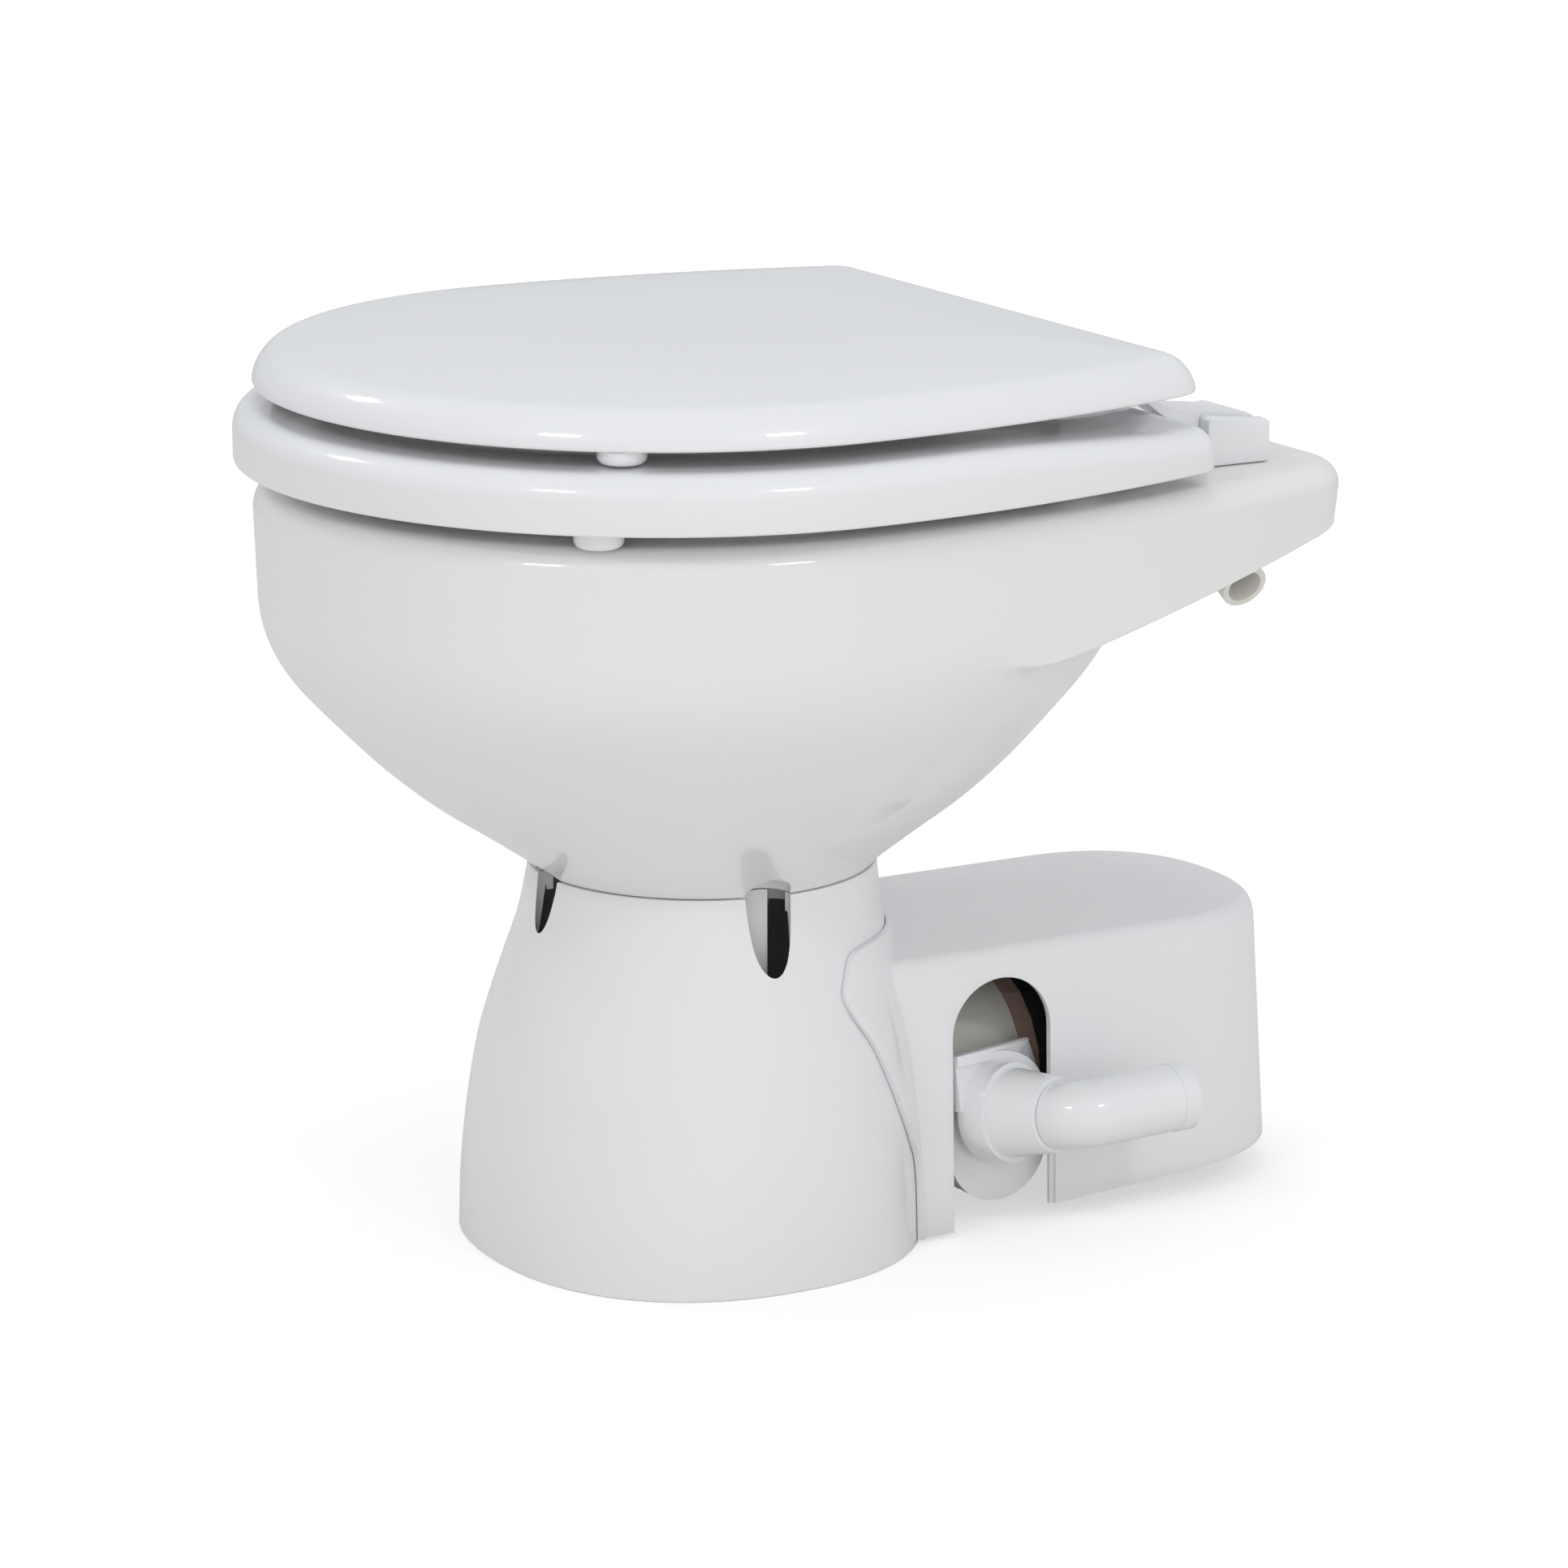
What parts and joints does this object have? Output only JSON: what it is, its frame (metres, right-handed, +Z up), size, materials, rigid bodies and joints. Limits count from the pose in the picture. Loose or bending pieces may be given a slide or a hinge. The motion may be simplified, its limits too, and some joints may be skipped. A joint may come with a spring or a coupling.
{
  "type": "electric marine toilet",
  "caption": "Compact boat toilet: white china bowl on a hollow pedestal, hinged seat and lid, and a macerator pump and motor under a rear cover.",
  "frame": {"origin": "on the floor, under the middle of the object's box", "axes": "+Z up, the front of the bowl faces -Y, the discharge elbow comes out on the +X side"},
  "size_m": [0.342, 0.4402, 0.3714],
  "materials": {
    "china": "white glazed vitreous china",
    "plastic": "white moulded plastic, semi-gloss",
    "cream": "off-white moulded plastic, satin",
    "rubber": "black rubber, matt",
    "black": "black paint, satin",
    "copper": "copper-coloured metal, satin",
    "steel": "stainless steel, brushed",
    "brass": "plain brass",
    "ferrite": "dark grey, matt"
  },
  "bodies": {
    "toilet": {"bowl": "china", "pedestal": "plastic", "motor_cover": "plastic", "bowl_gasket": "rubber", "bowl_bolt_1": "steel", "bowl_bolt_2": "steel", "bowl_bolt_3": "steel", "bowl_bolt_4": "steel", "bowl_insert_1": "brass", "bowl_insert_2": "brass", "bowl_insert_3": "brass", "bowl_insert_4": "brass", "drain_bend": "plastic", "drain_sleeve": "rubber", "pump_body": "cream", "pump_screw_1": "steel", "pump_screw_2": "steel", "pump_screw_3": "steel", "pump_screw_4": "steel", "chopper_plate": "steel", "shaft_seal": "rubber", "discharge_port": "plastic", "joker_valve": "rubber", "discharge_elbow": "plastic", "motor_adapter": "copper", "motor_can": "black", "motor_end_cap": "black", "bearing_front": "steel", "bearing_rear": "steel", "magnet_left": "ferrite", "magnet_right": "ferrite", "inlet_grommet": "cream", "inlet_elbow": "cream", "hinge_post_left": "plastic", "hinge_post_right": "plastic", "hinge_stud_left": "steel", "hinge_stud_right": "steel", "hinge_pin_left": "steel", "hinge_pin_right": "steel", "wing_nut_left": "plastic", "wing_nut_right": "plastic"},
    "seat": {"seat": "plastic", "seat_buffer_1": "plastic", "seat_buffer_2": "plastic", "seat_buffer_3": "plastic", "seat_buffer_4": "plastic", "seat_arm_left": "plastic", "seat_arm_right": "plastic"},
    "lid": {"lid": "plastic", "lid_buffer_left": "plastic", "lid_buffer_right": "plastic", "lid_arm_left": "plastic", "lid_arm_right": "plastic"},
    "rotor": {"motor_shaft": "steel", "macerator_blade": "steel", "impeller": "black", "armature": "ferrite", "commutator": "copper"}
  },
  "joints": [
    {"name": "seat_hinge", "type": "hinge", "parent": "toilet", "child": "seat", "pos_m": [0, 0.1573, 0.325], "axis": [-1, 0, 0], "range_deg": [0, 90]},
    {"name": "lid_hinge", "type": "hinge", "parent": "seat", "child": "lid", "pos_m": [0, 0.1573, 0.325], "axis": [-1, 0, 0], "range_deg": [0, 90]},
    {"name": "rotor_spin", "type": "hinge", "parent": "toilet", "child": "rotor", "pos_m": [0, 0.0915, 0.052], "axis": [0, 1, 0], "continuous": true}
  ]
}
